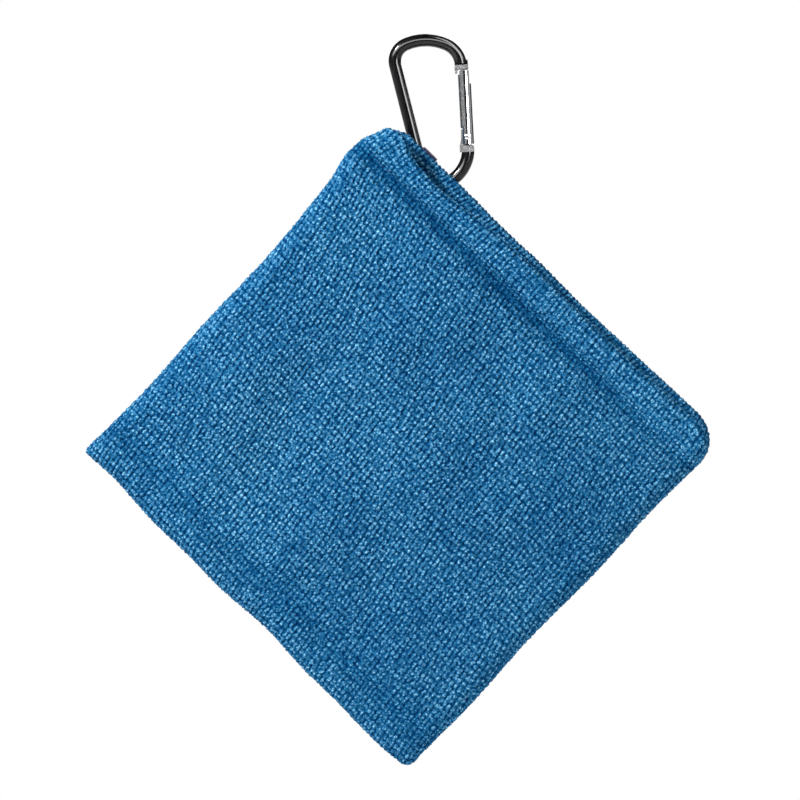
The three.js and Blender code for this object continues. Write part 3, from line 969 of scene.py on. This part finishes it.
def seam(name, node, seed):
    """A turned seam allowance: a thick fold of terry, as the CAD node lies, with rounded sides."""
    low, high = extent(node)
    middle, half = (low + high) / 2, (high - low) / 2
    long_axis = 0 if half[0] > half[2] else 2
    cross_axis = 2 - long_axis
    turn = np.linspace(0, 2 * math.pi, SEAM_SIDES, endpoint=False)
    lengths = np.linspace(-1, 1, int(2 * half[long_axis] / SEAM_GRID))
    from_end = np.clip((1 - np.abs(lengths)) * half[long_axis] / SEAM_TAPER, 0, 1)
    taper = (from_end**0.5 * (1 - SEAM_END) + SEAM_END)[:, None]
    room = half - PILE_ROOM
    base = np.zeros((len(lengths), len(turn), 3))
    base[..., long_axis] = lengths[:, None] * room[long_axis]
    base[..., cross_axis] = signed_power(np.cos(turn), SEAM_ROUNDNESS) * room[cross_axis] * taper
    base[..., 1] = signed_power(np.sin(turn), SEAM_ROUNDNESS) * room[1] * taper
    base = base + middle
    normals = grid_normals(base)
    if ((base - base.mean(1, keepdims=True)) * normals).sum(2).mean() < 0:
        normals = -normals
    girth = turn / (2 * math.pi) * 4 * (half[cross_axis] + half[1])
    distance, around = np.meshgrid(lengths * half[long_axis], girth, indexing="ij")
    pile, tone = tufts(distance + HALF, around, seed)
    points = base + normals * (PILE_ROOM * pile)[..., None]
    u, w = hang(points[..., 0], points[..., 2])
    points = np.stack([u, points[..., 1], w], axis=2)
    index = np.arange(pile.size).reshape(pile.shape)
    return make_terry(name, points.reshape(-1, 3), tube_faces(index, long_axis == 2), pile, tone)


# ---- Strap ----

STRAP_THICKNESS = 0.6
STRAP_SHRINK = 0.12
STRAP_EDGE_POWER = 8
STRAP_EDGE_LEAST = 0.02
CROWN_POINTS = 40
WIDTH_POINTS = 44
RIB_PITCH = 0.42
RIB_HEIGHT = 0.05
WEAVE_STEP = 0.1
STRAP_FUZZ_PER_METRE = 6000.0
STRAP_BUMP = 0.00005
WEAR_PER_METRE = 700.0
# Painted shade between the ribs and a painted highlight on them, where the tape stands higher.
STRAP_COLOUR_AND_PAINTED_LIGHT = [(0.0, (0.0015, 0.0012, 0.006)), (1.0, (0.017, 0.012, 0.046))]
WEAR_TINT = [(0.35, (0.8, 0.8, 0.85)), (0.7, (1.25, 1.2, 1.2))]


def strap_material():
    nodes = material_nodes("strap")
    # The rib that lifts the tape also sets its painted shade and highlight.
    colour = nodes.ramp(nodes.attribute("rib"), STRAP_COLOUR_AND_PAINTED_LIGHT)
    nodes.set(
        base_color=nodes.tint(colour, nodes.noise(WEAR_PER_METRE, detail=2.0), WEAR_TINT),
        roughness=0.6,
        specular_ior_level=0.15,
        sheen_weight=0.05,
        sheen_roughness=0.35,
    )
    nodes.bump(nodes.noise(STRAP_FUZZ_PER_METRE, detail=2.0), STRAP_BUMP)
    return nodes.owner


def strap_ring(half):
    """The strap's middle line, an upright oval, with its outward normals and distances along it."""
    radius = half[1] - STRAP_SHRINK / 2 - (STRAP_THICKNESS - STRAP_SHRINK) / 2
    straight = half[2] - half[1]
    turn = np.linspace(0, math.pi, CROWN_POINTS)
    crown = np.stack([radius * np.cos(turn), straight + radius * np.sin(turn)], axis=1)
    line, arcs = resample(np.concatenate([crown, -crown, crown[:1]]), WEAVE_STEP)
    line, arcs = line[:-1], arcs[:-1]
    tangent = np.roll(line, -1, 0) - np.roll(line, 1, 0)
    tangent /= np.linalg.norm(tangent, axis=1, keepdims=True)
    return line, np.stack([tangent[:, 1], -tangent[:, 0]], axis=1), arcs


def strap_loop():
    """Woven tape round the spine: an upright oval ring with fine slanting ribs."""
    low, high = extent("strap_loop")
    middle, half = (low + high) / 2, (high - low) / 2
    line, normal, arcs = strap_ring(half)
    width = np.linspace(-1, 1, WIDTH_POINTS)
    section = np.concatenate([width, width[::-1]])
    face = np.repeat([1.0, -1.0], WIDTH_POINTS)
    edge = np.sqrt(np.clip(1 - np.abs(section) ** STRAP_EDGE_POWER, STRAP_EDGE_LEAST, 1))
    arc, across = np.meshgrid(arcs, section * half[0], indexing="ij")
    slant = np.where(np.abs(across) < half[0] / 2, 1.0, -1.0)
    rib = 0.5 + 0.5 * np.sin(2 * math.pi * (arc + slant * np.abs(across)) / RIB_PITCH)
    lift = face * edge * ((STRAP_THICKNESS - STRAP_SHRINK) / 2 + RIB_HEIGHT * (rib - 0.5))
    points = middle + np.stack([
        across,
        line[:, :1] + normal[:, :1] * lift,
        line[:, 1:] + normal[:, 1:] * lift,
    ], axis=2)
    index = np.arange(rib.size).reshape(rib.shape)
    closed = np.pad(index, ((0, 1), (0, 1)), mode="wrap")
    faces = grid_faces(closed, False)
    return make_piece("strap_tape", "strap_webbing", points.reshape(-1, 3), faces, strap_material(), rib=rib)


# ---- Metal ----

# The rod's bare ends, in mm from the rivet: from and to along the gate, and the limit across it.
BARE_ENDS = [(20.0, 22.9), (-4.9, 2.4)]
BARE_ACROSS = -3.6

# The gate's top is what lies less than this below its highest point, in mm.
GATE_TOP = 1.5

# The metals' finish: noise per metre, colours as ramps, roughness, and bumps in metres.
SCRATCHES_PER_METRE = 900.0
ROD_TINT_PER_METRE = 300.0
BARE_COLOUR = [(0.3, (0.060, 0.060, 0.062)), (0.7, (0.12, 0.12, 0.123))]
BLACK_COLOUR = [(0.3, (0.0015, 0.0015, 0.0018)), (0.7, (0.0035, 0.0035, 0.004))]
BARE_METALLIC = 0.8
ROD_ROUGHNESS = 0.10
BARE_ROUGHER = 0.42
SCRATCH_ROUGHER = 0.08
ROD_BUMP = 0.00001
STREAKS_PER_METRE = 2600.0
STREAK_SCALE = (1.0, 1.0, 0.06)
STREAK_COLOUR = [(0.3, (0.52, 0.53, 0.55)), (0.7, (0.78, 0.79, 0.80))]
POLISHED_ROUGHNESS = 0.05
STREAK_ROUGHER = 0.12
STREAK_BUMP = 0.000004

# Points closer than this, in metres, become one, and edges sharper than this stay crisp.
WELD_DISTANCE = 0.000002
SMOOTH_ANGLE = math.radians(38)


def gate_axes():
    """The rivet's place, and the direction up the gate, from the frame."""
    hinge = np.array(JOINTS["gate_hinge"]["pos_m"])
    points = mesh_points(frame["nodes"]["gate_barrel"].data)
    top = points[points[:, 2] > points[:, 2].max() - GATE_TOP * MM].mean(0)
    return hinge, unit((top - hinge) * [1, 0, 1])


def bare_share(nodes):
    """1 on the rod's two flattened ends, beside the gate, and 0 on the rest of it."""
    hinge, up = gate_axes()
    links = {0: nodes.place(), 1: tuple(hinge)}
    place = nodes.add("VectorMath", links, operation="SUBTRACT").outputs["Vector"]
    height = nodes.dot(place, up)
    near_gate = nodes.compute("GREATER_THAN", nodes.dot(place, (up[2], 0.0, -up[0])), BARE_ACROSS * MM)
    bands = []
    for low, high in BARE_ENDS:
        above = nodes.compute("GREATER_THAN", height, low * MM)
        below = nodes.compute("LESS_THAN", height, high * MM)
        bands.append(nodes.compute("MULTIPLY", above, below))
    return nodes.compute("MULTIPLY", nodes.compute("MAXIMUM", *bands), near_gate)


def body_material():
    """Glossy black rod, machined bare at its two flattened ends."""
    nodes = material_nodes("black_rod")
    bare = bare_share(nodes)
    scratches = nodes.noise(SCRATCHES_PER_METRE, detail=4.0)
    grey = nodes.ramp(scratches, BARE_COLOUR)
    black = nodes.ramp(nodes.noise(ROD_TINT_PER_METRE), BLACK_COLOUR)
    rougher = nodes.compute(
        "ADD",
        nodes.compute("MULTIPLY", bare, BARE_ROUGHER),
        nodes.compute("MULTIPLY", scratches, SCRATCH_ROUGHER),
    )
    nodes.set(
        base_color=nodes.blend(bare, black, grey),
        metallic=nodes.compute("MULTIPLY", bare, BARE_METALLIC),
        roughness=nodes.compute("ADD", rougher, ROD_ROUGHNESS),
        specular_ior_level=0.30,
    )
    nodes.bump(scratches, ROD_BUMP)
    return nodes.owner


def polished_material():
    """Polished steel with faint lengthwise streaks."""
    nodes = material_nodes("polished")
    stretched = nodes.add("Mapping", {"Vector": nodes.place(), "Scale": STREAK_SCALE})
    streaks = nodes.noise(STREAKS_PER_METRE, roughness=0.6, vector=stretched.outputs["Vector"])
    rougher = nodes.compute("MULTIPLY", streaks, STREAK_ROUGHER)
    nodes.set(
        base_color=nodes.ramp(streaks, STREAK_COLOUR),
        metallic=1.0,
        roughness=nodes.compute("ADD", rougher, POLISHED_ROUGHNESS),
    )
    nodes.bump(streaks, STREAK_BUMP)
    return nodes.owner


def finish_metal(node, material):
    """A CAD node with its own finish, smooth across its small facets and crisp at its edges."""
    piece = frame["nodes"][node]
    piece.data.materials.clear()
    piece.data.materials.append(material)
    for flat_shading in ("custom_normal", "sharp_face", "sharp_edge"):
        if flat_shading in piece.data.attributes:
            piece.data.attributes.remove(piece.data.attributes[flat_shading])
    piece.data.polygons.foreach_set("use_smooth", [True] * len(piece.data.polygons))
    weld = piece.modifiers.new("weld", "WELD")
    weld.merge_threshold = WELD_DISTANCE
    split = piece.modifiers.new("split", "EDGE_SPLIT")
    split.split_angle = SMOOTH_ANGLE


finish_metal("carabiner_body", body_material())
POLISHED = polished_material()
for metal_node in ("gate_barrel", "hinge_rivet", "gate_spring", "spring_plunger"):
    finish_metal(metal_node, POLISHED)

# ---- The pouch, put together ----

FRONT_SEED, BACK_SEED, SEAM_SEED = 1, 2, 5
SEAM_NODES = ("left_seam", "right_seam", "bottom_seam")


def open_with_mouth(piece):
    """Bakes a front piece's place into its mesh, and works out each point's u along the mouth.
    """
    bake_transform(piece)
    u = mesh_points(piece.data) @ ALONG / MM - CENTRE[0]


front_panel = panel("front_terry", FRONT, FRONT_SEED)
front_lip = lip("front_lip", FRONT, FRONT_LIP, FRONT_SEED)
front_thread = stitches("front_lip_stitches", hem_stitches(FRONT))
front_pieces = [
    (front_panel, "front_panel"),
    (front_lip, "front_hem"),
    (front_thread, "front_hem_thread"),
]
for piece, node in front_pieces:
    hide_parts(node)
    open_with_mouth(piece)

back_panel = panel("back_terry", BACK, BACK_SEED)
back_lip = lip("back_lip", BACK, BACK_LIP, BACK_SEED)
back_thread = stitches("back_lip_stitches", hem_stitches(BACK))
crease_thread = stitches("crease_stitches", crease_stitches())
tack = stitches("strap_tack_stitches", tack_stitches(), TACK_RADIUS)
seams = [seam(node + "_fold", node, SEAM_SEED + i) for i, node in enumerate(SEAM_NODES)]
back_pieces = [
    (back_panel, "back_panel"),
    (back_lip, "back_hem"),
    (back_thread, "back_hem_thread"),
    (crease_thread, "closing_thread"),
    (tack, "strap_bar_tack"),
    *zip(seams, SEAM_NODES),
]
for piece, node in back_pieces:
    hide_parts(node)
    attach(piece, "pouch")

strap = strap_loop()
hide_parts("strap_loop")
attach(strap, "strap")
